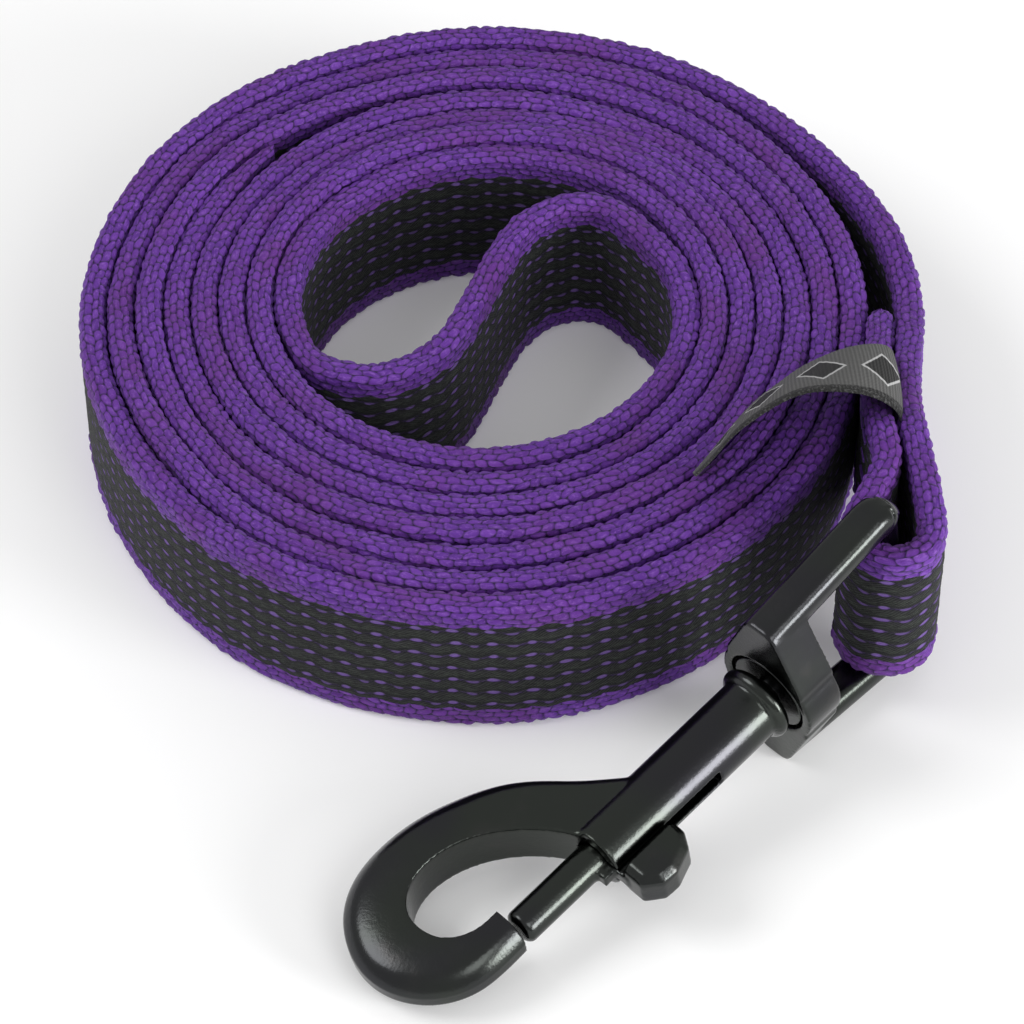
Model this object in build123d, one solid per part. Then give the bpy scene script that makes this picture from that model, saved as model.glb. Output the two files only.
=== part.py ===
from build123d import *
import math
import os

# Training leash: flat webbing wound into a double-spiral coil standing on its edge,
# with a swivelling bolt snap held in the webbing's outer end.
# Frame: millimetres, +Z up, the webbing coil stands on Z = 0. Every route below is
# written from the coil's winding centre and moved once, at the end, by ORIGIN_SHIFT so
# that the origin is the middle of the whole object's footprint.

ORIGIN_SHIFT = (-1.99, 21.06, 0.0)

# ---------------------------------------------------------------- webbing
WEB_WIDTH = 20.0          # height of the coil: the webbing stands on its edge
WEB_THICK = 2.9
TURN_PITCH = 3.24         # one webbing thickness plus the air between two turns
INNER_RADIUS = 23.6       # centre line of the innermost strand at the right

INNER_LEG_END = 765       # degrees along the inner leg where its cut end lies
DOUBLE_END = 1080         # degrees where the outer leg has run over the cut end
OUTER_LEG_END = 1980      # degrees where the outer leg leaves the coil
STRAIGHT_START = 0.5      # the coil's end runs on straight by this much
OUTER_TURNS = [           # (degrees, radius) of the outer leg past the cut end
    (1080, 39.8), (1125, 40.6), (1170, 39.3), (1215, 39.2), (1260, 39.85),
    (1305, 40.65), (1350, 41.5), (1395, 42.3), (1440, 43.1), (1485, 43.9),
    (1530, 42.6), (1575, 42.5), (1620, 43.15), (1665, 43.95), (1710, 44.8),
    (1755, 45.6), (1800, 46.4), (1845, 47.15), (1890, 46.2), (1935, 47.0),
    (1980, 50.2),
]
FRONT_BULGE = 2.6         # the outer turns stand out by this much at the front
BACK_DRAW = 0.9           # and lie this much further in at the back left
BULGE_SPAN = 21.2         # radial distance over which these grow from nothing
CROSSING = [              # the S across the middle, from inner leg to outer leg
    (-20.6, -9.3), (-14.0, -12.1), (-8.8, -10.6), (-4.6, -6.6), (-1.9, -1.0),
    (1.3, 7.0), (4.6, 13.0), (9.9, 16.4), (15.6, 15.2),
]

# ---------------------------------------------------------------- hook end
LEG_X = 50.2              # straight outer strand running to the swivel eye
TAB_X = 46.6              # folded-back tab lying beside it
TAB_END_Y = -3.0
LIFT = 5.0                # the eye's lower arm holds the strand off the ground
LIFT_END_Y = -25.2
LOOP_Y = -40.3            # centre of the loop round the eye's bar
LOOP_RADIUS = 5.15
LOOP_OVERTURN = 30.0      # degrees the loop turns past half a circle
TAB_BEND_RADIUS = 7.0

# ---------------------------------------------------------------- label
LABEL_WIDTH = 11.5
LABEL_THICK = 0.5
LABEL_Y = -24.0           # its front edge
LABEL_X = 48.4            # between the strand and the tab
LABEL_ROOT = 9.0          # height of its sewn-in end
LABEL_RISE = 25.3         # height where it starts to bend over
LABEL_BEND = 3.3
LABEL_SLOPE = 20.0        # degrees down from the crest to the coil's top
LABEL_RUN = 20.0
LABEL_LANDING = 12.0      # radius of the last bend, which brings it level

# ---------------------------------------------------------------- bolt snap
# Snap frame: X runs from the eye's bar towards the hook, Z is up the bar, and the
# hook bends away to -Y.
SNAP_HEADING = 45.0       # plan direction, measured from -X towards -Y
SNAP_TILT = 10.0          # the hook end lies lower than the eye
BAR_HEIGHT = 15.93
BAR_RADIUS = 1.75
EYE_HALF_REAR = 15.5      # half height at the bar
EYE_HALF_FRONT = 12.6     # half height at the base plate
ARM_HIGH = 3.7
ARM_WIDE = 4.7
ARM_BACK = 2.2            # the arms reach this far behind the bar's axis
BASE_BACK = 14.8
BASE_FRONT = 20.0
BASE_RING = 6.5
POCKET_RADIUS = 5.3
POCKET_DEPTH = 1.6
BASE_HALF_WIDE = 5.6
BASE_HALF_SHOULDER = 4.2
RIVET_HOLE = 1.76
RIVET_SHANK = 1.7
RIVET_HEAD = 4.2
RIVET_DOME = 5.0          # radius of the ball that the head is cut from
RIVET_GAP = 0.1           # play between the head and the base plate
RIVET_SEAT = 2.6          # depth of the rivet's seat in the barrel
WASHER_RADIUS = 4.9
WASHER_THICK = 1.0

BARREL_START = 22.6
BARREL_END = 47.5
BARREL_RADIUS = 3.8
BEAD_X = 21.7
BEAD_RADIUS = 4.65
BEAD_ROUND = 0.95
BORE_START = 27.5
BORE_RADIUS = 2.15
SLOT_START = 31.2
SLOT_WIDE = 2.1
HOOK_THICK = 6.2
HOOK_ROUND = 2.0
ROD_RADIUS = 2.05
ROD_BACK = 38.5
ROD_TIP = 59.5
ROD_CHAMFER = 0.5
WEB_PLATE = 1.7           # thickness of the bolt's web and tail in the slot
KNOB_HALF = 2.5
KNOB_FACET = 0.9
KNOB_OUTLINE = [(39.3, 4.4), (39.4, 6.0), (40.6, 7.8), (43.6, 8.9), (45.6, 8.8),
                (47.5, 7.2), (47.4, 4.4)]
HOOK_OUTER = [(38.0, 3.0), (40.4, 5.3), (42.6, 7.6), (44.9, 10.4), (48.0, 13.5), (52.4, 16.2),
              (57.4, 17.9), (62.4, 18.4), (67.0, 17.7), (70.6, 15.7), (73.1, 12.6),
              (74.4, 9.0), (74.3, 5.6), (73.0, 2.5), (70.6, -0.1), (67.2, -1.75),
              (63.8, -2.15), (60.2, -2.1)]
HOOK_INNER = [(60.2, 2.05), (62.7, 2.1), (64.9, 2.9), (66.5, 4.5), (67.1, 6.6), (66.8, 8.8),
              (65.2, 10.8), (62.4, 11.9), (59.2, 11.8), (55.4, 10.4), (52.4, 8.2),
              (49.9, 5.4), (48.2, 2.6)]

SPRING_WIRE = 0.2         # radius of the wire
SPRING_RADIUS = 1.75
SPRING_START = 28.3
SPRING_END = 37.9
SPRING_TURNS = 7


def leg_radius(degrees):
    """Centre-line radius of the winding at an angle along the outer leg."""
    if degrees <= DOUBLE_END:
        return INNER_RADIUS + TURN_PITCH * (degrees - 180) / 180
    for (a0, r0), (a1, r1) in zip(OUTER_TURNS, OUTER_TURNS[1:]):
        if degrees <= a1:
            part = (degrees - a0) / (a1 - a0)
            ease = part * part * (3 - 2 * part)
            return r0 + (r1 - r0) * ease
    return OUTER_TURNS[-1][1]


def winding_point(degrees, radius):
    """Winding angles start at the left and run clockwise seen from above."""
    angle = math.radians(180 - degrees)
    front = max(-math.sin(angle), 0) ** 2
    back_left = max(math.sin(angle), 0) * max(-math.cos(angle), 0) * 2
    outwards = FRONT_BULGE * front - BACK_DRAW * back_left
    radius += outwards * (radius - INNER_RADIUS) / BULGE_SPAN
    return (radius * math.cos(angle), radius * math.sin(angle))


def rounded(points, steps):
    """Smooth curve through the inner points of a list (its ends only steer it)."""
    curve = []
    for p0, p1, p2, p3 in zip(points, points[1:], points[2:], points[3:]):
        for step in range(steps):
            t = step / steps
            curve.append(tuple(
                0.5 * (2 * b + (c - a) * t + (2 * a - 5 * b + 4 * c - d) * t ** 2
                       + (3 * b - a - 3 * c + d) * t ** 3)
                for a, b, c, d in zip(p0, p1, p2, p3)
            ))
    return curve


def coil_route():
    """Centre line from the cut end, through the S, to the last turn's end."""
    inner = [winding_point(a, leg_radius(a + 180)) for a in range(INNER_LEG_END, -1, -15)]
    outer = [winding_point(a, leg_radius(a)) for a in range(165, OUTER_LEG_END + 1, 15)]
    crossing = rounded(inner[-2:] + CROSSING + outer[:2], 4)
    straight = (outer[-1][0], outer[-1][1] - STRAIGHT_START)
    return inner[:-1] + crossing + outer + [straight]


def unit(dx, dy):
    length = math.hypot(dx, dy)
    return dx / length, dy / length


def offset_route(route, distance):
    """Points set off sideways from a route."""
    points = []
    for i, (x, y) in enumerate(route):
        before = route[max(i - 1, 0)]
        after = route[min(i + 1, len(route) - 1)]
        dx, dy = unit(after[0] - before[0], after[1] - before[1])
        points.append((x - dy * distance, y + dx * distance))
    return points


def arc_chain(points):
    """Arcs through threes of points, with a short line where one is left over."""
    edges = [ThreePointArc(*three) for three in zip(points[0::2], points[1::2], points[2::2])]
    if len(points) % 2 == 0:
        edges.append(Line(points[-2], points[-1]))
    return edges


def ribbon(route, thick, height):
    """A strap of constant thickness along a plan route, standing on Z = 0."""
    left = offset_route(route, thick / 2)
    right = offset_route(route, -thick / 2)
    edges = arc_chain(left) + arc_chain(right)
    edges += [Line(left[0], right[0]), Line(left[-1], right[-1])]
    return extrude(Face(Wire(edges)), amount=height, dir=(0, 0, 1))


def sloping_strand(x, y_from, y_to):
    """Straight strand whose edge climbs from the ground to LIFT."""
    rise = LIFT / -LIFT_END_Y
    start = Location((x, y_from, -y_from * rise + WEB_WIDTH / 2))
    profile = start * (Plane.XZ.location * Rectangle(WEB_THICK, WEB_WIDTH))
    way = Vector(0, y_to - y_from, (y_from - y_to) * rise)
    return extrude(profile, amount=way.length, dir=way.normalized())


def arc_points(cx, cy, radius, start, sweep, steps):
    """Points on a plan arc, angles in degrees."""
    angles = [math.radians(start + sweep * i / steps) for i in range(steps + 1)]
    return [(cx + radius * math.cos(a), cy + radius * math.sin(a)) for a in angles]


def loop_side(distance):
    """One face of the webbing loop round the bar, set off from its middle."""
    over = math.radians(LOOP_OVERTURN)
    cx = LEG_X - LOOP_RADIUS
    r = LOOP_RADIUS + distance
    end_angle = 180 - LOOP_OVERTURN
    bend = TAB_BEND_RADIUS
    exit_x = cx + LOOP_RADIUS * math.cos(math.radians(end_angle))
    exit_y = LOOP_Y + LOOP_RADIUS * math.sin(math.radians(end_angle))
    run = (TAB_X - exit_x - bend * (1 - math.cos(over))) / math.sin(over)
    bend_cx = TAB_X - bend
    bend_y = exit_y + run * math.cos(over) + bend * math.sin(over)
    small = bend + distance
    start = (LEG_X + distance, LIFT_END_Y)
    low = (LEG_X + distance, LOOP_Y)
    mid = arc_points(cx, LOOP_Y, r, 0, -(180 + LOOP_OVERTURN) / 2, 1)[-1]
    out = arc_points(cx, LOOP_Y, r, end_angle, 0, 1)[-1]
    turn_in = arc_points(bend_cx, bend_y, small, -LOOP_OVERTURN, 0, 1)[-1]
    turn_mid = arc_points(bend_cx, bend_y, small, -LOOP_OVERTURN / 2, 0, 1)[-1]
    turn_out = (bend_cx + small, bend_y)
    return start, low, mid, out, turn_in, turn_mid, turn_out


def webbing_loop():
    """The loop that holds the eye, open between strand and tab."""
    outer = list(loop_side(WEB_THICK / 2))
    inner = list(loop_side(-WEB_THICK / 2))
    # On the tab's bend the strap's two faces change sides.
    outer[4:], inner[4:] = inner[4:], outer[4:]
    edges = []
    for side in (outer, inner):
        edges += [
            Line(side[0], side[1]),
            ThreePointArc(side[1], side[2], side[3]),
            Line(side[3], side[4]),
            ThreePointArc(side[4], side[5], side[6]),
        ]
        edges.append(Line(side[6], (side[6][0], LIFT_END_Y)))
    edges.append(Line(outer[0], inner[0]))
    edges.append(Line((outer[6][0], LIFT_END_Y), (inner[6][0], LIFT_END_Y)))
    solid = extrude(Face(Wire(edges)), amount=WEB_WIDTH, dir=(0, 0, 1))
    return Pos(0, 0, LIFT) * solid


def webbing():
    """The whole strap, one piece from its cut end to the sewn tab."""
    coil = ribbon(coil_route(), WEB_THICK, WEB_WIDTH)
    leg = sloping_strand(LEG_X, 0, LIFT_END_Y)
    tab = sloping_strand(TAB_X, TAB_END_Y, LIFT_END_Y)
    return coil + leg + webbing_loop() + tab


def lift_at(y):
    return LIFT * min(max(y / LIFT_END_Y, 0), 1)


def staple(length, reach):
    """One stitch: a thread through both layers with a float on each face."""
    rod = Pos(0, -length / 2 + 0.3, 0) * Box(reach, 0.5, 0.5)
    floats = [Pos(side * (reach / 2 - 0.2), 0, 0) * Box(0.4, length, 0.5) for side in (-1, 1)]
    return rod + floats[0] + floats[1]


def hook_end_stitching():
    """Box seam joining the tab to the outer strand."""
    middle = (LEG_X + TAB_X) / 2
    reach = LEG_X - TAB_X + WEB_THICK + 0.36
    places = [(y, z) for z in (4.0, 16.0) for y in range(-23, -4, 3)]
    places += [(y, z) for y in (-23, -5) for z in (7.0, 10.0, 13.0)]
    return [
        Pos(middle, y, z + lift_at(y)) * staple(2.2, reach)
        for y, z in places
    ]


def handle_stitching():
    """Seam joining the strap's inner cut end to the turn inside it."""
    stitches = []
    for degrees in range(690, 762, 6):
        outer = leg_radius(degrees + 180)
        inner = leg_radius(degrees)
        reach = outer - inner + WEB_THICK + 0.16
        x, y = winding_point(degrees, (outer + inner) / 2)
        for z in (4.0, 16.0):
            place = Location((x, y, z), (0, 0, 180 - degrees))
            stitches.append(place * staple(2.2, reach))
    return stitches


def label_route():
    """Side view of the label: up out of the seam, over the strand, onto the coil."""
    slope = math.radians(LABEL_SLOPE)
    root = (LABEL_X, LABEL_ROOT)
    bend = arc_points(LABEL_X - LABEL_BEND, LABEL_RISE, LABEL_BEND, 0, 90 + LABEL_SLOPE, 2)
    x = bend[-1][0] - LABEL_RUN * math.cos(slope)
    z = bend[-1][1] - LABEL_RUN * math.sin(slope)
    middle = (x - LABEL_LANDING * math.sin(slope), z + LABEL_LANDING * math.cos(slope))
    landing = arc_points(*middle, LABEL_LANDING, LABEL_SLOPE - 90, -LABEL_SLOPE, 2)
    return Wire([
        Line(root, bend[0]), ThreePointArc(*bend),
        Line(bend[-1], landing[0]), ThreePointArc(*landing),
    ])


def label():
    """Woven ribbon caught in the seam and laid over the coil's top."""
    start = Plane(origin=(LABEL_X, LABEL_ROOT, 0), x_dir=(1, 0, 0), z_dir=(0, 1, 0))
    flat = sweep(start * Rectangle(LABEL_THICK, LABEL_WIDTH), path=label_route())
    return Pos(0, LABEL_Y + LABEL_WIDTH / 2, 0) * (Rot(90, 0, 0) * flat)


def snap_frame():
    """Location of the snap frame: origin on the eye's bar."""
    heading = math.radians(SNAP_HEADING)
    tilt = math.radians(SNAP_TILT)
    forward = Vector(-math.cos(heading) * math.cos(tilt),
                     -math.sin(heading) * math.cos(tilt),
                     -math.sin(tilt))
    side = Vector(math.sin(heading), -math.cos(heading), 0)
    up = forward.cross(side)
    centre = Vector(LEG_X - LOOP_RADIUS, LOOP_Y, BAR_HEIGHT)
    return Plane(origin=centre, x_dir=forward, z_dir=up).location


def tube(radius, start, end):
    """Round bar along the snap's own X axis."""
    bar = Cylinder(radius, end - start, align=(Align.CENTER, Align.CENTER, Align.MIN))
    return Pos(start, 0, 0) * (Rot(0, 90, 0) * bar)


def eye_side(sign):
    """One arm of the eye, sloping from the bar in to the base plate."""
    rear = sign * (EYE_HALF_REAR - ARM_HIGH / 2)
    front = sign * (EYE_HALF_FRONT - ARM_HIGH / 2)
    corners = [
        (-ARM_BACK, rear - ARM_HIGH / 2), (-ARM_BACK, rear + ARM_HIGH / 2),
        (BASE_FRONT, front + ARM_HIGH / 2), (BASE_FRONT, front - ARM_HIGH / 2),
    ]
    outline = make_face(Polyline(*[(x, 0, z) for x, z in corners], close=True))
    arm = extrude(outline, amount=ARM_WIDE / 2, dir=(0, 1, 0), both=True)
    return fillet(arm.edges().filter_by(lambda e: e.length > 12), 1.5)


def eye_base():
    """Upright base plate, widest round the rivet, with the flange's pocket."""
    depth = BASE_FRONT - BASE_BACK
    ring = tube(BASE_RING, BASE_BACK, BASE_FRONT)
    half = EYE_HALF_FRONT - 1.0
    wide = BASE_HALF_WIDE
    shoulder = BASE_HALF_SHOULDER
    points = [(ARM_WIDE / 2, half), (wide, shoulder), (wide, -shoulder), (ARM_WIDE / 2, -half)]
    points += [(-y, z) for y, z in reversed(points)]
    outline = make_face(Polyline(*[(BASE_BACK, y, z) for y, z in points], close=True))
    spine = extrude(outline, amount=depth, dir=(1, 0, 0))
    pocket = tube(POCKET_RADIUS, BASE_FRONT - POCKET_DEPTH, BASE_FRONT + 1)
    hole = tube(RIVET_HOLE, BASE_BACK - 1, BASE_FRONT + 1)
    return ring + spine - pocket - hole


def swivel_eye():
    bar = Cylinder(BAR_RADIUS, 2 * (EYE_HALF_REAR - 2.0))
    return bar + eye_side(1) + eye_side(-1) + eye_base()


def swivel_rivet():
    """Rivet turning with the barrel: domed head behind the base plate."""
    under_head = BASE_BACK - RIVET_GAP
    shank = tube(RIVET_SHANK, under_head, BARREL_START + RIVET_SEAT)
    deep = math.sqrt(RIVET_DOME ** 2 - RIVET_HEAD ** 2)
    ball = Pos(under_head + deep, 0, 0) * Sphere(RIVET_DOME)
    head = ball & tube(RIVET_HEAD, under_head - RIVET_DOME, under_head)
    return shank + head


def swivel_washer():
    """Thin ring in the base plate's pocket, fast on the rivet."""
    start = BASE_FRONT - WASHER_THICK - 0.2
    return tube(WASHER_RADIUS, start, start + WASHER_THICK) - tube(RIVET_SHANK, start - 1, BASE_FRONT)


def hook_loop():
    """The bent hook: flat inner wall, rounded outside."""
    shift = [(x, -y, 0) for x, y in HOOK_OUTER]
    back = [(x, -y, 0) for x, y in HOOK_INNER]
    edges = [
        Spline(*shift), Line(shift[-1], back[0]), Spline(*back),
        Line(back[-1], (46.4, 1.6, 0)), Line((46.4, 1.6, 0), (38.0, 1.6, 0)),
        Line((38.0, 1.6, 0), shift[0]),
    ]
    solid = extrude(Face(Wire(edges)), amount=HOOK_THICK / 2, dir=(0, 0, 1), both=True)
    return solid


def rounded_hook():
    """The hook with the outer edges of its two flat sides rounded."""
    solid = hook_loop()
    flats = [f for f in solid.faces() if abs(abs(f.center().Z) - HOOK_THICK / 2) < 0.01]
    outer = [max(face.edges(), key=lambda e: e.length) for face in flats]
    return fillet(outer, HOOK_ROUND)


def hook_body():
    barrel = tube(BARREL_RADIUS, BEAD_X - BEAD_ROUND / 2, BARREL_END)
    bead = Pos(BEAD_X, 0, 0) * (Rot(0, 90, 0) * Torus(BEAD_RADIUS - BEAD_ROUND, BEAD_ROUND))
    body = barrel + bead + rounded_hook()
    bore = tube(BORE_RADIUS, BORE_START, BARREL_END + 1)
    seat = tube(RIVET_SHANK, BEAD_X - BEAD_ROUND, BARREL_START + RIVET_SEAT)
    slot_end = BARREL_END + 2
    slot = Pos((SLOT_START + slot_end) / 2, BARREL_RADIUS, 0) * Box(
        slot_end - SLOT_START, 2 * BARREL_RADIUS, SLOT_WIDE)
    return body - bore - seat - slot


def thumb_knob():
    """Thumb knob with facets along its outer edges."""
    outline = make_face(Polyline(*[(x, y, 0) for x, y in KNOB_OUTLINE], close=True))
    knob = extrude(outline, amount=KNOB_HALF, dir=(0, 0, 1), both=True)
    foot = KNOB_OUTLINE[0][1]
    rims = [
        e for e in knob.edges()
        if abs(abs(e.center().Z) - KNOB_HALF) < 0.01 and e.center().Y > foot + 0.1
    ]
    return chamfer(rims, KNOB_FACET)


def gate_bolt():
    """Sliding bolt: rod, web in the slot and thumb knob, one casting."""
    rod = tube(ROD_RADIUS, ROD_BACK, ROD_TIP)
    rod = chamfer(rod.edges().sort_by(Axis.X)[-1], ROD_CHAMFER)
    web = Pos(43.7, 2.9, 0) * Box(7.8, 4.4, WEB_PLATE)
    tail = Pos(47.9, 1.7, 0) * Box(2.4, 3.0, WEB_PLATE)
    return rod + web + tail + thumb_knob()


def gate_spring():
    """Compression spring behind the bolt, drawn as its closed wire coil."""
    length = SPRING_END - SPRING_START
    pitch = length / SPRING_TURNS
    helix = Helix(pitch, length, SPRING_RADIUS)
    start = helix @ 0
    section = Plane(origin=start, z_dir=helix % 0) * Circle(SPRING_WIRE)
    coil = sweep(section, path=helix)
    return Pos(SPRING_START, 0, 0) * (Rot(0, 90, 0) * coil)


def save(name, shape, place=None):
    """Write one named piece, moved from its own frame into the object's."""
    pieces = shape if isinstance(shape, list) else [shape]
    moved = []
    for piece in pieces:
        if place is not None:
            piece = place * piece
        moved.append(Pos(*ORIGIN_SHIFT) * piece)
    solids = [solid for piece in moved for solid in piece.solids()]
    export_step(Compound(label=name, children=solids), f"parts/{name}.step")


os.makedirs("parts", exist_ok=True)
SNAP = snap_frame()
save("webbing", webbing())
save("label", label())
save("hook_end_stitching", hook_end_stitching())
save("handle_stitching", handle_stitching())
save("swivel_eye", swivel_eye(), SNAP)
save("swivel_rivet", swivel_rivet(), SNAP)
save("swivel_washer", swivel_washer(), SNAP)
save("hook_body", hook_body(), SNAP)
save("gate_bolt", gate_bolt(), SNAP)
save("gate_spring", gate_spring(), SNAP)
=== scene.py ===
import math

import bpy
import numpy as np
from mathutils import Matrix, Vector


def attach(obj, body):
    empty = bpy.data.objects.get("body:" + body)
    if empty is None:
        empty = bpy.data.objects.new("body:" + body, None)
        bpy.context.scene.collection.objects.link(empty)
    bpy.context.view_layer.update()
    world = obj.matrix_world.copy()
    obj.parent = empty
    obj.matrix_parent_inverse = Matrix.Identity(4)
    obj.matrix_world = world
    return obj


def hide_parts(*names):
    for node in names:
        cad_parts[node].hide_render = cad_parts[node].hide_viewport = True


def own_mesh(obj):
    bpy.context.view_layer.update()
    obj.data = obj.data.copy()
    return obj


# Training leash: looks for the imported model. Routes are worked out in millimetres from the
# coil's winding centre, as in the part's source, and placed by ORIGIN_SHIFT.

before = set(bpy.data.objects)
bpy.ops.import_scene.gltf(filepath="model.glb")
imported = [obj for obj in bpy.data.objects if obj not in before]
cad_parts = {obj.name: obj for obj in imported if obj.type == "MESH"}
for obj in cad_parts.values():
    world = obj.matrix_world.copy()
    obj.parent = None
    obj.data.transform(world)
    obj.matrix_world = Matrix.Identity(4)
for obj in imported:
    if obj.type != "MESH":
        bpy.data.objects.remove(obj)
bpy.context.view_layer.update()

MM = 0.001
ORIGIN_SHIFT = (-1.99, 21.06)

# ---------------------------------------------------------------- webbing sizes
WEB_WIDTH = 20.0
WEB_THICK = 3.06
EDGE_ROUND = 1.0          # radius of the strap's rounded edges
TURN_PITCH = 3.24         # between neighbouring strands, per half turn
INNER_RADIUS = 23.6
INNER_LEG_END = 765       # degrees wound where the inner leg is cut off
DOUBLE_END = 1080         # up to here both legs lie side by side
OUTER_LEG_END = 1980
OUTER_TURNS = [            # degrees wound, radius: settles the outer turns where they touch
    (1080, 39.8), (1118, 40.3), (1152, 38.95), (1215, 39.2), (1260, 39.85),
    (1305, 40.65), (1350, 41.5), (1395, 42.3), (1440, 43.1), (1485, 43.9),
    (1530, 42.6), (1575, 42.5), (1620, 43.15), (1665, 43.95), (1710, 44.8),
    (1755, 45.6), (1800, 46.4), (1845, 47.15), (1890, 46.2), (1935, 47.0),
    (1980, 49.7),
]
FRONT_BULGE = 2.6         # the outermost turns stand this much wider at the front
BACK_DRAW = 0.9           # and this much closer at the back left
BULGE_SPAN = 21.2
CROSSING = [              # middle of the S between the two legs
    (-20.6, -9.3), (-14.0, -12.1), (-8.8, -10.6), (-4.6, -6.6), (-1.9, -1.0),
    (1.3, 7.0), (4.6, 13.0), (9.9, 16.4), (15.6, 15.2),
]
LEG_X = 49.7
TAB_X = 46.2
TAB_END_Y = -3.0
LIFT = 5.0                # height of the loop off the ground
LIFT_END_Y = -25.2
LOOP_Y = -40.3
LOOP_RADIUS = 4.4         # pulled a little tighter than the collision model's
LOOP_OVERTURN = 30.0
TAB_BEND_RADIUS = 7.0
CUT_END_TAPER = 12.0      # the inner cut end is pressed thin over this length
LEAN = 1.5                # the strand and tab lean this far in, halfway to the loop
LEAN_FROM = -1.0
LEAN_TO = -39.0
COIL_STEP = 3             # degrees between the coil's route points
CURVE_STEPS = 30          # route points between two points of the S
ROUTE_SOFTENING = 12

# ---------------------------------------------------------------- weave sizes
STATION = 0.45            # spacing of the strap's cross-sections
EDGE_STEPS = 7            # outline points up each purple edge, and up the stripe
STRIPE_STEPS = 34
STRIPE_HALF = 7.0         # the dark stripe's half height on each face
STRIPE_ROW = 2.06         # height of one row of picks in the stripe
STRIPE_REPEAT = 4.15      # length of one pick repeat along the strap
STRIPE_SHIFT = 0.15       # rows by which the first pick row stands off the stripe's edge
CELL_LONG = 1.66          # yarn cells of the purple edges
CELL_HIGH = 0.88
CELL_STAGGER = 0.41       # shift from one row of cells to the next, in cells
CELL_SLANT = 0.16
CELL_RISE = 0.40
CELL_SEED = 7
STRIPE_RISE = 0.20
STRIPE_WAVE = 0.09        # rise and fall of the ridges, in rows
STRIPE_EDGE_WAVE = 0.20   # rise and fall of the stripe's edge
MIDDLE_ROW = 40           # row number at the middle of each edge
CUT_END_SHARE = 0.45      # of the thickness that is left at the cut end
END_ROUND = 1.3           # length over which both ends are rounded shut
GROUND_GAP = 0.02         # no point of the strap lies lower

# Unevenness along the strap: size, bump length, seed
TALLER = [(0.45, 42, 3), (0.25, 17, 4)]
BOTTOM_MEAN = 0.14
BOTTOM = [(0.12, 45, 5)]
# Unevenness over the strap's skin: size, bump length along, bump length round, seed
CELL_DRIFT = [(0.30, 3.3, 2.3, 11), (0.24, 1.3, 1.0, 12)]
ROW_DRIFT = [(0.26, 3.7, 2.6, 13), (0.22, 1.2, 1.1, 14)]
LEVEL_DRIFT = [(0.13, 2.6, 2.4, 15)]
ROUGH_SKIN = [(0.05, 0.9, 0.9, 16)]

# ---------------------------------------------------------------- seams
SEAM_MIDDLE = 46.41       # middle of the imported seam, in the object's frame
SEAM_SPREAD = 1.02        # the woven faces stand a little further out than the plain ones
THREAD_GRAIN = 0.1
THREAD_SOFTENING = 3

# ---------------------------------------------------------------- label
LABEL_WIDTH = 11.5
LABEL_THICK = 0.5
LABEL_STATION = 0.35
LABEL_SOFTENING = 30
LABEL_CURL = 0.35         # its two edges curl down by this much
LABEL_RIB = 0.9           # length of one rib of its weave on the mesh
LABEL_REPEAT = 7.5        # one outlined diamond in this length
DIAMOND_HALF_LONG = 2.9
DIAMOND_HALF_HIGH = 3.1
LABEL_NEAR = [            # its edge nearer the snap, from the seam to the free end
    (46.4, -2.9, 4.0), (46.4, -2.9, 9.0), (46.4, -2.9, 16.0), (46.3, -2.9, 22.0),
    (44.9, -2.9, 26.2), (41.8, -3.2, 29.0), (38.4, -3.5, 30.0), (33.6, -3.0, 29.4),
    (29.9, -4.4, 28.2), (26.6, -6.9, 27.0), (23.7, -11.3, 27.6), (20.9, -15.6, 28.8),
    (18.0, -20.0, 30.0),
]
LABEL_FAR = [             # its other edge
    (46.4, 8.6, 4.0), (46.4, 8.6, 9.0), (46.4, 8.6, 15.6), (46.3, 8.6, 20.8),
    (45.4, 8.4, 24.0), (43.0, 7.9, 25.9), (38.9, 7.5, 25.8), (34.2, 7.0, 23.2),
    (31.4, 5.4, 21.7), (28.9, 3.3, 20.9), (25.0, -2.3, 20.7), (21.4, -7.9, 20.5),
    (18.0, -13.0, 20.5),
]

# ---------------------------------------------------------------- snap frame
SNAP_HEADING = 45.0
SNAP_TILT = 10.0
BAR_PLACE = (43.06, -19.24, 15.93)
EYE_HALF_REAR = 15.5      # half height of the eye at its bar
ARM_HIGH = 3.7
ARM_WIDE = 4.7
ARM_BACK = 2.2            # the arms reach this far behind the bar's centre
EYE_CORNER = 4.4          # outer radius where an arm turns down into the bar
# The hook's outline: distance ahead of the bar, distance to the hook's side
HOOK_OUTER = [(38.0, 3.0), (40.4, 5.3), (42.6, 7.6), (44.9, 10.4), (48.0, 13.5), (52.4, 16.2),
              (57.4, 17.9), (62.4, 18.4), (67.0, 17.7), (70.6, 15.7), (73.1, 12.6),
              (74.4, 9.0), (74.3, 5.6), (73.0, 2.5), (70.6, -0.1), (67.2, -1.75),
              (63.8, -2.15), (60.2, -2.1)]
HOOK_INNER = [(60.2, 2.05), (62.7, 2.1), (64.9, 2.9), (66.5, 4.5), (67.1, 6.6), (66.8, 8.8),
              (65.2, 10.8), (62.4, 11.9), (59.2, 11.8), (55.4, 10.4), (52.4, 8.2),
              (49.9, 5.4), (48.2, 2.6)]
HOOK_DOME = 0.86          # 1 would bring the outer edge to nothing
DOME_START = 43.0         # the dome grows between these distances from the bar
DOME_FULL = 54.0
DOME_POWER = 1.3          # above 1, the flat by the inner rim is wider
ROD_RADIUS = 2.05         # the bolt's rod, with its tip this far ahead of the bar
ROD_TIP = 59.5
GRAIN = 0.17              # spacing of the metal pieces' surface points
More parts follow.
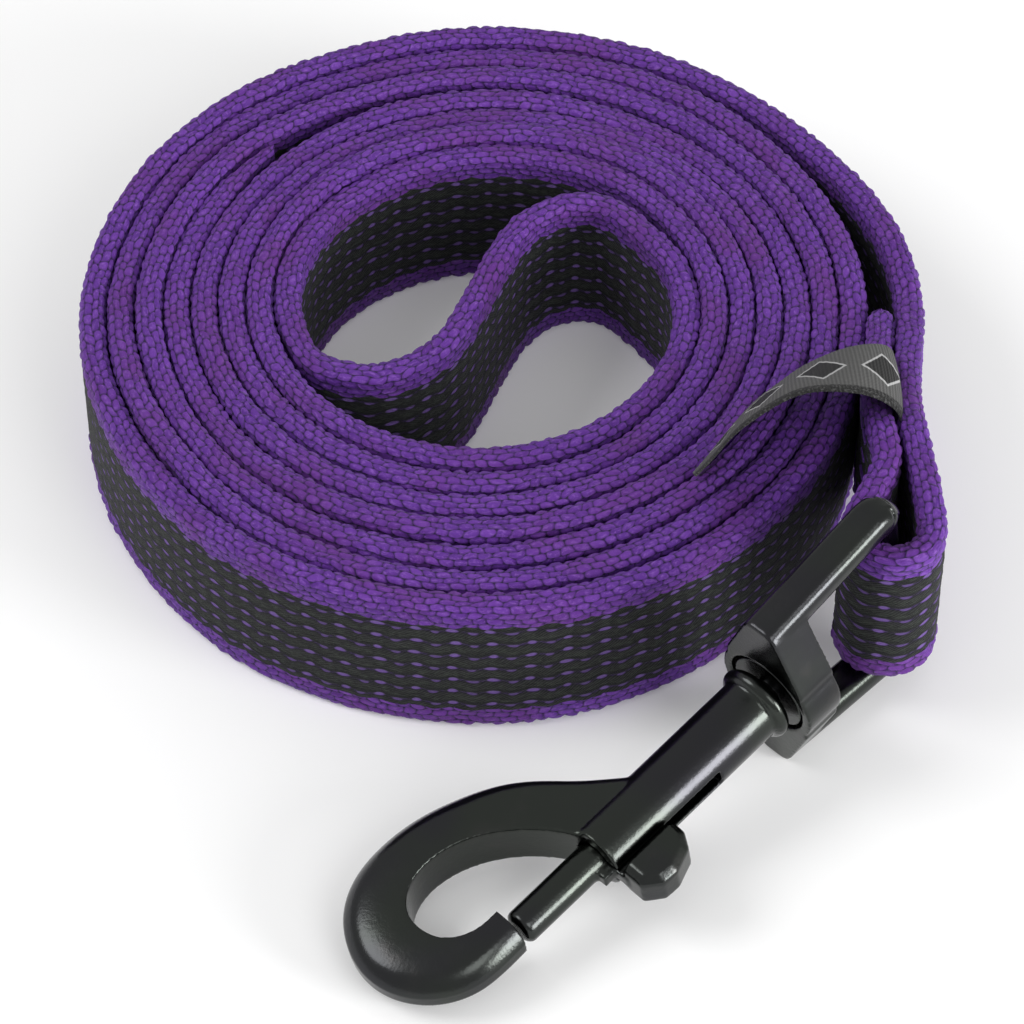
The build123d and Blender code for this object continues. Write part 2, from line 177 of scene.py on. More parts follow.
CAST_PIECES = [           # node, body, rounds of softening
    ("swivel_eye", "eye", 14),
    ("swivel_rivet", "snap", 3),
    ("swivel_washer", "snap", 3),
    ("hook_body", "snap", 12),
    ("gate_bolt", "bolt", 14),
]
SPRING_WIRE = 0.2         # radius of the wire
SPRING_RADIUS = 1.75
SPRING_START = 28.3
SPRING_END = 37.9
SPRING_TURNS = 7
SPRING_FLAT = 0.75        # flat turns at each end
SPRING_STATIONS = 520

# ---------------------------------------------------------------- view
CAMERA_TARGET = (0.995, -3.96, 10.0)
CAMERA_RISE = 47.95
CAMERA_FAR = 506.8
CAMERA_LENS = 154.2
SENSOR = 36.0
FLOOR_HALF = 3.0          # metres
FLOOR_GLOW = 0.10
WORLD_LIGHT = 0.60
LAMPS = [                 # name, place, width, watts
    ("key", (-0.62, 0.02, 0.62), 0.50, 2.9),
    ("fill", (0.40, -0.60, 0.62), 0.45, 1.6),
    ("side", (0.72, -0.38, 0.22), 0.36, 5.2),
]

# ---------------------------------------------------------------- colours
WHITE = (1, 1, 1, 1)
YARN_DULL = (0.088, 0.018, 0.235, 1)
YARN_BRIGHT = (0.135, 0.033, 0.325, 1)
# painted glints: a lighter lilac on the brighter fibres
FIBRE_PAINTED_GLINT = (0.215, 0.080, 0.430, 1)
YARN_RED = (0.120, 0.020, 0.190, 1)
# painted shade in the gaps between the yarn cells
CELL_GAP_PAINTED_SHADE = (0.012, 0.003, 0.036, 1)
DARK_FUR_LOW = (0.002, 0.003, 0.003, 1)
DARK_FUR_HIGH = (0.021, 0.026, 0.021, 1)
# painted shade in the valleys between the dark ridges
VALLEY_PAINTED_SHADE = (0.004, 0.004, 0.007, 1)
VALLEY_LINE = (0.050, 0.020, 0.12, 1)
PICK_DULL = (0.080, 0.035, 0.19, 1)
PICK_BRIGHT = (0.200, 0.115, 0.38, 1)
THREAD_DULL = (0.060, 0.014, 0.18, 1)
THREAD_BRIGHT = (0.13, 0.04, 0.33, 1)


# ================================================================ routes
def leg_radius(degrees):
    """Radius of the winding after this many degrees."""
    if degrees <= DOUBLE_END:
        return INNER_RADIUS + TURN_PITCH * (degrees - 180) / 180
    for (a0, r0), (a1, r1) in zip(OUTER_TURNS, OUTER_TURNS[1:]):
        if degrees <= a1:
            part = (degrees - a0) / (a1 - a0)
            return r0 + (r1 - r0) * ease(part)
    return OUTER_TURNS[-1][1]


def ease(part):
    """Smooth step from 0 to 1."""
    return part * part * (3 - 2 * part)


def winding_point(degrees, radius):
    """Plan point of a turn, with the coil's wider front and closer back left."""
    angle = math.radians(180 - degrees)
    front = max(-math.sin(angle), 0) ** 2
    back_left = max(math.sin(angle), 0) * max(-math.cos(angle), 0) * 2
    outwards = FRONT_BULGE * front - BACK_DRAW * back_left
    radius += outwards * (radius - INNER_RADIUS) / BULGE_SPAN
    return (radius * math.cos(angle), radius * math.sin(angle))


def rounded(points, steps):
    """Smooth curve through the inner points of a list (its ends only steer it)."""
    curve = []
    for p0, p1, p2, p3 in zip(points, points[1:], points[2:], points[3:]):
        for step in range(steps):
            t = step / steps
            curve.append(tuple(
                0.5 * (2 * b + (c - a) * t + (2 * a - 5 * b + 4 * c - d) * t ** 2
                       + (3 * b - a - 3 * c + d) * t ** 3)
                for a, b, c, d in zip(p0, p1, p2, p3)
            ))
    return curve


def coil_route(step):
    """Centre line from the inner cut end, through the S, to the last turn's end."""
    inner = [winding_point(a, leg_radius(a + 180)) for a in range(INNER_LEG_END, 0, -step)]
    outer = [winding_point(a, leg_radius(a)) for a in range(165, OUTER_LEG_END + 1, step)]
    steer_in = [winding_point(a, leg_radius(a + 180)) for a in (15, 0)]
    steer_out = [winding_point(a, leg_radius(a)) for a in (165, 180)]
    return inner + rounded(steer_in + CROSSING + steer_out, CURVE_STEPS) + outer


def arc(cx, cy, radius, start, sweep, steps):
    """Points along an arc, with its angles in degrees."""
    angles = np.radians(start + sweep * np.arange(steps + 1) / steps)
    return [(cx + radius * math.cos(a), cy + radius * math.sin(a)) for a in angles]


def hook_end_route():
    """Straight strand, loop round the eye's bar and the tab folded back."""
    over = math.radians(LOOP_OVERTURN)
    loop = arc(LEG_X - LOOP_RADIUS, LOOP_Y, LOOP_RADIUS, 0, -(180 + LOOP_OVERTURN), 60)
    bend = TAB_BEND_RADIUS
    run = (TAB_X - loop[-1][0] - bend * (1 - math.cos(over))) / math.sin(over)
    bend_y = loop[-1][1] + run * math.cos(over) + bend * math.sin(over)
    turn = arc(TAB_X - bend, bend_y, bend, -LOOP_OVERTURN, LOOP_OVERTURN, 16)
    return loop + turn + [(TAB_X, TAB_END_Y)]


def lean(y):
    """How far the strand and tab lean in at a winding-frame y."""
    part = np.clip((y - LEAN_FROM) / (LEAN_TO - LEAN_FROM), 0, 1)
    return -LEAN * np.sin(math.pi * part) ** 2


def evenly(points, spacing):
    """The same line with its points evenly spaced, and their distance along it."""
    points = np.array(points, float)
    along = np.r_[0, np.cumsum(np.linalg.norm(np.diff(points, axis=0), axis=1))]
    count = int(along[-1] / spacing)
    marks = np.linspace(0, along[-1], count + 1)
    axes = [np.interp(marks, along, points[:, k]) for k in range(points.shape[1])]
    return np.column_stack(axes), marks


def soften(points, times):
    """Takes small kinks out of a line, leaving its ends where they are."""
    for _ in range(times):
        points[1:-1] = 0.25 * points[:-2] + 0.5 * points[1:-1] + 0.25 * points[2:]
    return points


# ================================================================ random fields
def slow_noise(along, wave, seed):
    """Smooth random line between -1 and 1 with bumps about wave apart."""
    rng = np.random.default_rng(seed)
    place = along / wave
    low = place.astype(int)
    knots = rng.uniform(-1, 1, low[-1] + 2)
    part = ease(place - low)
    return knots[low] * (1 - part) + knots[low + 1] * part


def patch_noise(along, girth, wave_along, wave_girth, seed):
    """Smooth random field between -1 and 1 over the strap's length and its closed girth."""
    rng = np.random.default_rng(seed)
    rounds = round(girth[-1] / wave_girth)
    a = along / wave_along
    g = girth * rounds / (girth[-1] + girth[1])
    i = a.astype(int)
    j = g.astype(int)
    knots = rng.uniform(-1, 1, (i[-1] + 2, rounds))
    s = ease(a - i)[:, None]
    t = ease(g - j)[None, :]
    i = i[:, None]
    near = j[None, :] % rounds
    far = (j[None, :] + 1) % rounds
    low = knots[i, near] * (1 - t) + knots[i, far] * t
    high = knots[i + 1, near] * (1 - t) + knots[i + 1, far] * t
    return low * (1 - s) + high * s


def unevenness(along, layers):
    """Sum of slow noises from a list of size, bump length and seed."""
    return sum(size * slow_noise(along, wave, seed) for size, wave, seed in layers)


def patches(along, girth, layers):
    """Sum of patch noises from a list of size, two bump lengths and seed."""
    return sum(size * patch_noise(along, girth, long_way, round_way, seed)
               for size, long_way, round_way, seed in layers)


# ================================================================ webbing
def section():
    """The strap's outline: across, height, out across, out up, and row of the edge weave."""
    half = WEB_THICK / 2
    inset = half - EDGE_ROUND
    corner = EDGE_ROUND * math.pi / 2
    top = WEB_WIDTH - EDGE_ROUND
    stripe = WEB_WIDTH / 2 - STRIPE_HALF
    heights = list(np.linspace(EDGE_ROUND, stripe, EDGE_STEPS, endpoint=False))
    heights += list(np.linspace(stripe, WEB_WIDTH - stripe, STRIPE_STEPS, endpoint=False))
    heights += list(np.linspace(WEB_WIDTH - stripe, top, EDGE_STEPS, endpoint=False))
    outline = []
    for h in heights:
        if h >= WEB_WIDTH / 2:
            outline.append((half, h, 1.0, 0.0, inset + corner + top - h))
        else:
            outline.append((half, h, 1.0, 0.0, -(inset + corner + h - EDGE_ROUND)))
    for a in np.radians(np.arange(0, 90, 15)):
        outline.append((inset + EDGE_ROUND * math.cos(a), top + EDGE_ROUND * math.sin(a),
                        math.cos(a), math.sin(a), inset + EDGE_ROUND * (math.pi / 2 - a)))
    for x in np.linspace(inset, -inset, 5):
        outline.append((x, WEB_WIDTH, 0.0, 1.0, x))
    for a in np.radians(np.arange(75, 0, -15)):
        outline.append((-inset - EDGE_ROUND * math.cos(a), top + EDGE_ROUND * math.sin(a),
                        -math.cos(a), math.sin(a), -inset - EDGE_ROUND * (math.pi / 2 - a)))
    outline += [(-x, WEB_WIDTH - z, -nx, -nz, d) for x, z, nx, nz, d in list(outline)]
    outline = np.array(outline)
    outline[:, 4] = MIDDLE_ROW + outline[:, 4] / CELL_HIGH
    return outline


def edge_cells(along, row):
    """Height of the purple edges' yarn cells: slanting, in staggered rows of random plumpness."""
    plump = np.random.default_rng(CELL_SEED).uniform(0.45, 1.0, (16, 997))
    line = np.floor(row)
    part = row - line
    odd = line % 2
    place = along / CELL_LONG + CELL_STAGGER * line + CELL_SLANT * (2 * odd - 1) * (part - 0.5)
    column = np.floor(place)
    long_way = 1 - np.abs(2 * (place - column) - 1) ** 2.8
    high_way = 1 - np.abs(2 * part - 1) ** 2.4
    size = plump[line.astype(int) % 16, column.astype(int) % 997]
    return CELL_RISE * (size * long_way * high_way - 0.33)


def stripe_ridges(along, height):
    """Height of the dark yarns, which run in slightly wavy ridges between the picks."""
    wave = STRIPE_WAVE * np.cos(2 * math.pi * along / STRIPE_REPEAT)
    row = height / STRIPE_ROW + STRIPE_SHIFT + wave
    return STRIPE_RISE * (np.abs(np.sin(math.pi * row)) ** 0.8 - 0.65)


def smooth_step(value, low, high):
    """Rises from 0 at low to 1 at high."""
    return ease(np.clip((value - low) / (high - low), 0, 1))


def grid_mesh(name, points, layers):
    """Closed tube of stations by ring points, with one value pair per point and layer."""
    count, ring = points.shape[:2]
    follow = np.roll(np.arange(ring), -1)
    base = (np.arange(count - 1) * ring)[:, None]
    near = np.arange(ring)
    faces = np.stack([base + near, base + ring + near, base + ring + follow, base + follow], axis=-1)
    corners = faces.reshape(-1)
    starts = np.arange(len(corners) // 4) * 4
    starts = np.r_[starts, len(corners), len(corners) + ring]
    corners = np.r_[corners, near[::-1], (count - 1) * ring + near]
    mesh = bpy.data.meshes.new(name)
    mesh.vertices.add(count * ring)
    mesh.vertices.foreach_set("co", (points * MM).reshape(-1).astype(np.float32))
    mesh.loops.add(len(corners))
    mesh.loops.foreach_set("vertex_index", corners.astype(np.int32))
    mesh.polygons.add(len(starts))
    mesh.polygons.foreach_set("loop_start", starts.astype(np.int32))
    for layer, values in layers.items():
        uv = mesh.uv_layers.new(name=layer)
        uv.uv.foreach_set("vector", values.reshape(-1, 2)[corners].reshape(-1).astype(np.float32))
    mesh.update(calc_edges=True)
    mesh.validate()
    mesh.polygons.foreach_set("use_smooth", np.ones(len(mesh.polygons), bool))
    return link(name, mesh)


def link(name, mesh):
    """Puts a mesh into the scene as a named piece."""
    piece = bpy.data.objects.new(name, mesh)
    bpy.context.scene.collection.objects.link(piece)
    return piece


def strap_route():
    """The strap's centre line, the distance along it, and its lift off the ground."""
    route, along = evenly(coil_route(COIL_STEP) + hook_end_route(), STATION)
    route = soften(route, ROUTE_SOFTENING)
    y = route[:, 1]
    loose = (along > along[-1] * 0.6) & (route[:, 0] > TAB_X - 8) & (y < 0)
    loose = np.arange(len(route)) > np.flatnonzero(~loose)[-1]
    lifts = np.where(loose, LIFT * np.clip(y / LIFT_END_Y, 0, 1), 0)
    route[:, 0] += np.where(loose, lean(y), 0)
    return route, along, lifts


def strap_closing(along):
    """Share of its thickness that the strap keeps: rounded shut ends, a pressed cut end."""
    part = np.minimum(1, np.minimum(along, along[-1] - along) / END_ROUND)
    closing = np.sqrt(np.clip(1 - (1 - part) ** 2, 0.02, 1))
    return closing * (CUT_END_SHARE + (1 - CUT_END_SHARE) * smooth_step(along, 0, CUT_END_TAPER))


def build_webbing():
    """The whole strap as one ribbon on its edge, and its length."""
    route, along, lifts = strap_route()
    taller = unevenness(along, TALLER)
    bottom = BOTTOM_MEAN + unevenness(along, BOTTOM)
    ahead = np.gradient(route, axis=0)
    ahead /= np.hypot(*ahead.T)[:, None]
    side = np.column_stack([-ahead[:, 1], ahead[:, 0]])

    across, height, out, up, row = section().T
    girth = np.r_[0, np.cumsum(np.hypot(np.diff(across), np.diff(height)))]
    warped = along[:, None] + patches(along, girth, CELL_DRIFT)
    rows = row + patches(along, girth, ROW_DRIFT)
    level = height + patches(along, girth, LEVEL_DRIFT)

    reach = np.abs(level - WEB_WIDTH / 2)
    limit = STRIPE_HALF + STRIPE_EDGE_WAVE * np.cos(2 * math.pi * warped / STRIPE_REPEAT)
    purple = smooth_step(reach - limit, -0.15, 0.15)
    raised = purple * edge_cells(warped, rows) + (1 - purple) * stripe_ridges(warped, level)
    raised += patches(along, girth, ROUGH_SKIN)

    away = (across + out * raised) * strap_closing(along)[:, None]
    tall = height + up * raised
    points = np.zeros((len(route), len(across), 3))
    points[:, :, :2] = route[:, None, :] + side[:, None, :] * away[:, :, None] + ORIGIN_SHIFT
    points[:, :, 2] = lifts[:, None] + bottom[:, None] + tall + taller[:, None] * (tall / WEB_WIDTH)
    points[:, :, 2] = np.maximum(points[:, :, 2], GROUND_GAP)
    layers = {
        "weave": np.stack([warped, rows], axis=-1),
        "section": np.stack([level, np.broadcast_to(along[:, None], level.shape)], axis=-1),
    }
    return grid_mesh("webbing_strap", points, layers), along[-1]


# ================================================================ label
def build_label():
    """The woven ribbon, twisting from upright in the seam to its free end over the coil."""
    near, _ = evenly(rounded(LABEL_NEAR, 12), LABEL_STATION)
    far = np.array(rounded(LABEL_FAR, 12))
    share = np.linspace(0, len(far) - 1, len(near))
    far = np.column_stack([np.interp(share, np.arange(len(far)), far[:, k]) for k in range(3)])
    far = soften(far, LABEL_SOFTENING)
    near = soften(near, LABEL_SOFTENING)
    width = far - near
    width /= np.linalg.norm(width, axis=1)[:, None]
    middle = (near + far) / 2
    middle[:, 0] += lean(middle[:, 1] - ORIGIN_SHIFT[1]) * smooth_step(middle[:, 2], 26, 20)
    ahead = np.gradient(middle, axis=0)
    step = np.linalg.norm(ahead, axis=1)
    normal = np.cross(width, ahead / step[:, None])
    along = np.cumsum(step)
    places = np.linspace(-0.5, 0.5, 33) * LABEL_WIDTH
    round_off = np.sqrt(np.clip(1 - (np.abs(places) / (LABEL_WIDTH / 2)) ** 24, 0.05, 1))
    sides = np.r_[places, places[::-1]]
    lifts = np.r_[round_off, -round_off[::-1]] * LABEL_THICK / 2
    rib = 1 + 0.10 * np.sin(2 * math.pi * along / LABEL_RIB)
    curl = LABEL_CURL * (sides / LABEL_WIDTH * 2) ** 2
    points = middle[:, None, :] + width[:, None, :] * sides[None, :, None]
    points += normal[:, None, :] * (lifts[None, :] * rib[:, None] - curl[None, :])[:, :, None]
    grid = np.stack(np.broadcast_arrays(along[:, None], sides[None, :] + LABEL_WIDTH / 2), axis=-1)
    return grid_mesh("label_ribbon_piece", points, {"weave": grid}), along[-1] - along[0]


# ================================================================ snap pieces
def snap_axes():
    """Where the snap's frame lies at rest: bar centre, forward, side and up (millimetres)."""
    heading = math.radians(SNAP_HEADING)
    tilt = math.radians(SNAP_TILT)
    level = np.array([-math.cos(heading), -math.sin(heading), 0.0])
    forward = math.cos(tilt) * level + np.array([0, 0, -math.sin(tilt)])
    side = np.array([math.sin(heading), -math.cos(heading), 0.0])
    return np.array(BAR_PLACE), forward, side, np.cross(forward, side)


def nearest(points, outline):
    """Distance of plan points from a smooth line through the outline's points."""
    ends = [outline[0]] + outline + [outline[-1]]
    line = np.array(rounded(ends, 10) + [outline[-1]])
    away = np.full(len(points), 1e9)
    for mark in line:
        away = np.minimum(away, np.hypot(*(points - mark).T))
    return away


def into_snap(points):
    """Distances of points ahead of the bar, to the knob's side, and up."""
    centre, forward, side, up = snap_axes()
    offset = points - centre
    return offset @ forward, offset @ side, offset @ up


def out_of_snap(ahead, side_way, high):
    """The reverse of into_snap."""
    centre, forward, side, up = snap_axes()
    return centre + ahead[:, None] * forward + side_way[:, None] * side + high[:, None] * up


def dome_hook(points):
    """Rounds the hook's two faces from the crisp inner rim down to its outer edge."""
    u, s, v = into_snap(points)
    plan = np.column_stack([u, -s])
    inner = nearest(plan, HOOK_INNER)
    outer = nearest(plan, HOOK_OUTER)
    share = inner / np.maximum(inner + outer, 1e-6)
    domed = np.sqrt(1 - (HOOK_DOME * share ** DOME_POWER) ** 2)
    clear_of_rod = smooth_step(-s, ROD_RADIUS - 0.5, ROD_RADIUS + 1.5)
    weight = smooth_step(u, DOME_START, DOME_FULL) * np.maximum(clear_of_rod, u > ROD_TIP)
    return out_of_snap(u, s, v * (1 - weight * (1 - domed)))


def vertices_of(mesh):
    """The mesh's vertices as rows of an array."""
    flat = np.zeros(len(mesh.vertices) * 3, np.float32)
    mesh.vertices.foreach_get("co", flat)
    return flat.reshape(-1, 3)


def cast_copy(node, name, grain, rounds, reshape):
    """Even, softened skin over a CAD node, so that its edges are rounded like a casting's."""
    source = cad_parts[node]
    raw = source.data.copy()
    raw.transform(source.matrix_world)
    draft = link(name + "_draft", raw)
    even = draft.modifiers.new("even", "REMESH")
    even.mode = "VOXEL"
    even.voxel_size = grain * MM
    even.use_smooth_shade = True
    soft = draft.modifiers.new("soft", "SMOOTH")
    soft.factor = 0.5
    soft.iterations = rounds
    bpy.context.view_layer.update()
    evaluated = draft.evaluated_get(bpy.context.evaluated_depsgraph_get())
    mesh = bpy.data.meshes.new_from_object(evaluated)
    mesh.name = name
    bpy.data.objects.remove(draft)
    if reshape is not None:
        points = reshape(vertices_of(mesh) / MM) * MM
        mesh.vertices.foreach_set("co", points.astype(np.float32).reshape(-1))
    mesh.polygons.foreach_set("use_smooth", np.ones(len(mesh.polygons), bool))
    mesh.update()
    return link(name, mesh)


def to_circle(a, b, inside):
    """Share by which points of a square shrink to fill its inscribed circle instead."""
    share = np.maximum(np.abs(a), np.abs(b)) / np.maximum(np.hypot(a, b), 1e-6)
    return np.where(inside, share, 1)


def round_eye_corners(points):
    """Turns the arms' square rear ends into round bars that bend down into the loop."""
    u, s, v = into_snap(points)
    rear = ARM_WIDE / 2 - ARM_BACK - u
    share = to_circle(rear, s, (rear > 0) & (np.abs(v) > EYE_HALF_REAR - ARM_HIGH - 0.2))
    u += rear * (1 - share)
    s *= share
    past = EYE_CORNER - ARM_BACK - u
    above = np.abs(v) - (EYE_HALF_REAR - EYE_CORNER)
    share = to_circle(past, above, (past > 0) & (above > 0))
    u += past * (1 - share)
    v -= above * (1 - share) * np.sign(v)
    return out_of_snap(u, s, v)


def lean_points(points):
    """Moves the seam's threads with the leaning strand, and out to its woven face."""
    middle = (LEG_X + TAB_X) / 2 + ORIGIN_SHIFT[0]
    moved = points.copy()
    moved[:, 0] = middle + (points[:, 0] - SEAM_MIDDLE) * SEAM_SPREAD
    moved[:, 0] += lean(points[:, 1] - ORIGIN_SHIFT[1])
    return moved


def build_spring():
    """Wire helix in the barrel behind the bolt."""
    centre, forward, side, up = snap_axes()
    turn = np.linspace(0, 2 * math.pi * (SPRING_TURNS + 2 * SPRING_FLAT), SPRING_STATIONS)
    share = np.clip((turn / (2 * math.pi) - SPRING_FLAT) / SPRING_TURNS, 0, 1)
    distance = SPRING_START + SPRING_WIRE + share * (SPRING_END - SPRING_START - 2 * SPRING_WIRE)
    radial = np.cos(turn)[:, None] * side + np.sin(turn)[:, None] * up
    line = centre + distance[:, None] * forward + SPRING_RADIUS * radial
    around = np.radians(np.arange(0, 360, 36))
    outward = np.cos(around)[None, :, None] * radial[:, None, :]
    onward = np.sin(around)[None, :, None] * forward
    points = line[:, None, :] + SPRING_WIRE * (outward + onward)
    grid = np.stack(np.broadcast_arrays(turn[:, None], around[None, :]), axis=-1)
    return grid_mesh("gate_spring_wire", points, {"weave": grid})


# ================================================================ node helpers
class Nodes:
    """Small wrapper that writes a material's node tree in formula style."""

    def __init__(self, name):
        self.material = bpy.data.materials.new(name)
        self.material.use_nodes = True
        self.tree = self.material.node_tree
        self.tree.nodes.clear()
        self.output = self.tree.nodes.new("ShaderNodeOutputMaterial")

    def new(self, kind, **settings):
        node = self.tree.nodes.new(kind)
        for key, value in settings.items():
            setattr(node, key, value)
        return node

    def wire(self, value, socket):
        if isinstance(value, bpy.types.NodeSocket):
            self.tree.links.new(value, socket)
        else:
            socket.default_value = value

    def math(self, operation, a, b=0.0, c=0.0):
        node = self.new("ShaderNodeMath", operation=operation)
        for value, socket in zip((a, b, c), node.inputs):
            self.wire(value, socket)
        return node.outputs[0]

    def add(self, a, b):
        return self.math("ADD", a, b)

    def sub(self, a, b):
        return self.math("SUBTRACT", a, b)

    def mul(self, a, b):
        return self.math("MULTIPLY", a, b)

    def uv(self, layer):
        split = self.new("ShaderNodeSeparateXYZ")
        self.wire(self.new("ShaderNodeUVMap", uv_map=layer).outputs[0], split.inputs[0])
        return split.outputs[0], split.outputs[1]

    def vector(self, x, y, z=0.0):
        node = self.new("ShaderNodeCombineXYZ")
        for value, socket in zip((x, y, z), node.inputs):
            self.wire(value, socket)
        return node.outputs[0]

    def noise(self, vector, scale, detail=3.0, rough=0.5):
        node = self.new("ShaderNodeTexNoise")
        self.wire(vector, node.inputs["Vector"])
        node.inputs["Scale"].default_value = scale
        node.inputs["Detail"].default_value = detail
        node.inputs["Roughness"].default_value = rough
        return node.outputs["Fac"]

    def random(self, vector):
        node = self.new("ShaderNodeTexWhiteNoise", noise_dimensions="3D")
        self.wire(vector, node.inputs["Vector"])
        return node.outputs["Value"]

    def step(self, value, low, high):
        node = self.new("ShaderNodeMapRange", interpolation_type="SMOOTHSTEP")
        self.wire(value, node.inputs["Value"])
        self.wire(low, node.inputs["From Min"])
        self.wire(high, node.inputs["From Max"])
        return node.outputs["Result"]

    def blend(self, share, a, b):
        node = self.new("ShaderNodeMix", data_type="RGBA")
        self.wire(share, node.inputs["Factor"])
        self.wire(a, node.inputs[6])
        self.wire(b, node.inputs[7])
        return node.outputs[2]

    def bump(self, height, distance):
        node = self.new("ShaderNodeBump")
        node.inputs["Strength"].default_value = 1.0
        node.inputs["Distance"].default_value = distance
        self.wire(height, node.inputs["Height"])
        return node.outputs["Normal"]

    def surface(self, colour, roughness, normal=None, **constants):
        shader = self.new("ShaderNodeBsdfPrincipled")
        self.wire(colour, shader.inputs["Base Color"])
        self.wire(roughness, shader.inputs["Roughness"])
        if normal is not None:
            self.wire(normal, shader.inputs["Normal"])
        for key, value in constants.items():
            shader.inputs[key.replace("_", " ")].default_value = value
        self.tree.links.new(shader.outputs[0], self.output.inputs["Surface"])
        return self.material


def grey(level, red=0.0, green=0.0, blue=0.0):
    """A grey with a slight cast."""
    return (level + red, level + green, level + blue, 1)


# ================================================================ materials
def edge_weave(n, along, row):
    """Colour and height of the purple edges: the same slanting cells as the mesh has."""
    line = n.math("FLOOR", row)
    part = n.sub(row, line)
    odd = n.math("FLOORED_MODULO", line, 2.0)
    slant = n.mul(n.mul(n.math("MULTIPLY_ADD", odd, 2.0, -1.0), n.sub(part, 0.5)), CELL_SLANT)
    cells = n.math("DIVIDE", along, CELL_LONG)
    place = n.add(n.math("MULTIPLY_ADD", line, CELL_STAGGER, cells), slant)
    column = n.math("FLOOR", place)
    cu = n.math("ABSOLUTE", n.math("MULTIPLY_ADD", n.sub(place, column), 2.0, -1.0))
    cv = n.math("ABSOLUTE", n.math("MULTIPLY_ADD", part, 2.0, -1.0))
    far = n.add(n.math("POWER", cu, 3.0), n.mul(n.math("POWER", cv, 2.4), 0.75))
    chance = n.random(n.vector(column, line, 0.0))
    strands = n.vector(n.mul(along, 0.8), n.mul(row, 1.5), chance)
    fibre = n.noise(strands, 1.9, 5.0, 0.7)
    ragged = n.math("MULTIPLY_ADD", n.sub(fibre, 0.5), 0.9, far)
    # Painted shade: the colour darkens towards each cell's edges, where the cells meet.
    gap_shade = n.step(n.math("MULTIPLY_ADD", chance, 0.25, ragged), 0.50, 1.50)
    lit = n.blend(chance, YARN_DULL, YARN_BRIGHT)
    # Painted highlight: where the fibre noise is high the cells take a lighter lilac, standing for
    # glints.
    lit = n.blend(n.step(fibre, 0.46, 0.72), lit, FIBRE_PAINTED_GLINT)
    patch = n.noise(n.vector(n.mul(along, 0.09), n.mul(row, 0.12), 5.0), 1.0, 2.0, 0.5)
    lit = n.blend(n.mul(n.step(patch, 0.42, 0.70), 0.5), lit, YARN_RED)
    colour = n.blend(gap_shade, lit, CELL_GAP_PAINTED_SHADE)
    body = n.sub(1.0, n.math("MINIMUM", far, 1.0))
    return colour, n.add(n.mul(body, 0.80), n.mul(fibre, 0.55))


def stripe_weave(n, along, height):
    """Colour and height of the dark stripe: fibrous ridges with purple picks between."""
    turn = n.math("DIVIDE", along, STRIPE_REPEAT)
    swing = n.math("COSINE", n.mul(turn, 2 * math.pi))
    row = n.math("MULTIPLY_ADD", swing, STRIPE_WAVE, n.math("DIVIDE", height, STRIPE_ROW))
    level = n.sub(n.math("FRACT", n.add(row, STRIPE_SHIFT + 0.5)), 0.5)
    first = n.sub(n.math("FRACT", turn), 0.5)
    second = n.sub(n.math("FRACT", n.add(turn, 0.5)), 0.5)

    def pick(where, drop, half_long, half_high):
        """One purple thread showing in every repeat, as an oval."""
        a = n.math("DIVIDE", where, half_long / STRIPE_REPEAT)
        b = n.math("DIVIDE", n.add(level, drop), half_high / STRIPE_ROW)
        size = n.math("SQRT", n.add(n.mul(a, a), n.mul(b, b)))
        return n.sub(1.0, n.step(size, 0.60, 1.15))

    faint = n.mul(pick(second, 0.04, 0.60, 0.22), 0.6)
    picks = n.math("MAXIMUM", pick(first, 0.0, 0.66, 0.31), faint)
    fur = n.noise(n.vector(n.mul(along, 0.9), n.mul(height, 1.8), 3.0), 1.5, 6.0, 0.75)
    twist = n.math("SINE", n.mul(n.math("MULTIPLY_ADD", height, 1.6, along), 2 * math.pi / 0.55))
    valley = n.math("ABSOLUTE", level)
    ridge = n.step(valley, 0.08, 0.40)
    dark = n.blend(n.step(fur, 0.42, 0.62), DARK_FUR_LOW, DARK_FUR_HIGH)
    # Painted shade: the valleys between the ridges are near black.
    dark = n.blend(ridge, VALLEY_PAINTED_SHADE, dark)
    line = n.mul(n.sub(1.0, n.step(valley, 0.02, 0.12)), n.step(fur, 0.42, 0.62))
    dark = n.blend(n.mul(line, 0.5), dark, VALLEY_LINE)
    sheen = n.noise(n.vector(along, n.mul(height, 3.0), 9.0), 3.0, 3.0, 0.6)
    thread = n.blend(sheen, PICK_DULL, PICK_BRIGHT)
    colour = n.blend(picks, dark, thread)
    rise = n.add(n.mul(picks, 0.55), n.mul(fur, 0.55))
    return colour, n.add(rise, n.add(n.mul(ridge, 0.75), n.mul(twist, 0.07)))


def webbing_material():
    """Purple edges and dark stripe, parted by the stripe's wavy edge."""
    n = Nodes("webbing_weave")
    along, row = n.uv("weave")
    height, _ = n.uv("section")
    swing = n.math("COSINE", n.mul(along, 2 * math.pi / STRIPE_REPEAT))
    reach = n.math("ABSOLUTE", n.sub(height, WEB_WIDTH / 2))
    limit = n.math("MULTIPLY_ADD", swing, STRIPE_EDGE_WAVE, STRIPE_HALF)
    purple = n.step(n.sub(reach, limit), -0.07, 0.07)
    edge, edge_rise = edge_weave(n, along, row)
    stripe, stripe_rise = stripe_weave(n, along, height)
    colour = n.blend(purple, stripe, edge)
    rise = n.add(n.mul(purple, edge_rise), n.mul(n.sub(1.0, purple), stripe_rise))
    rough = n.math("MULTIPLY_ADD", purple, -0.14, 0.76)
    return n.surface(colour, rough, n.bump(rise, 0.00030), Sheen_Weight=0.04, Sheen_Roughness=0.5,
                     Specular_IOR_Level=0.28)


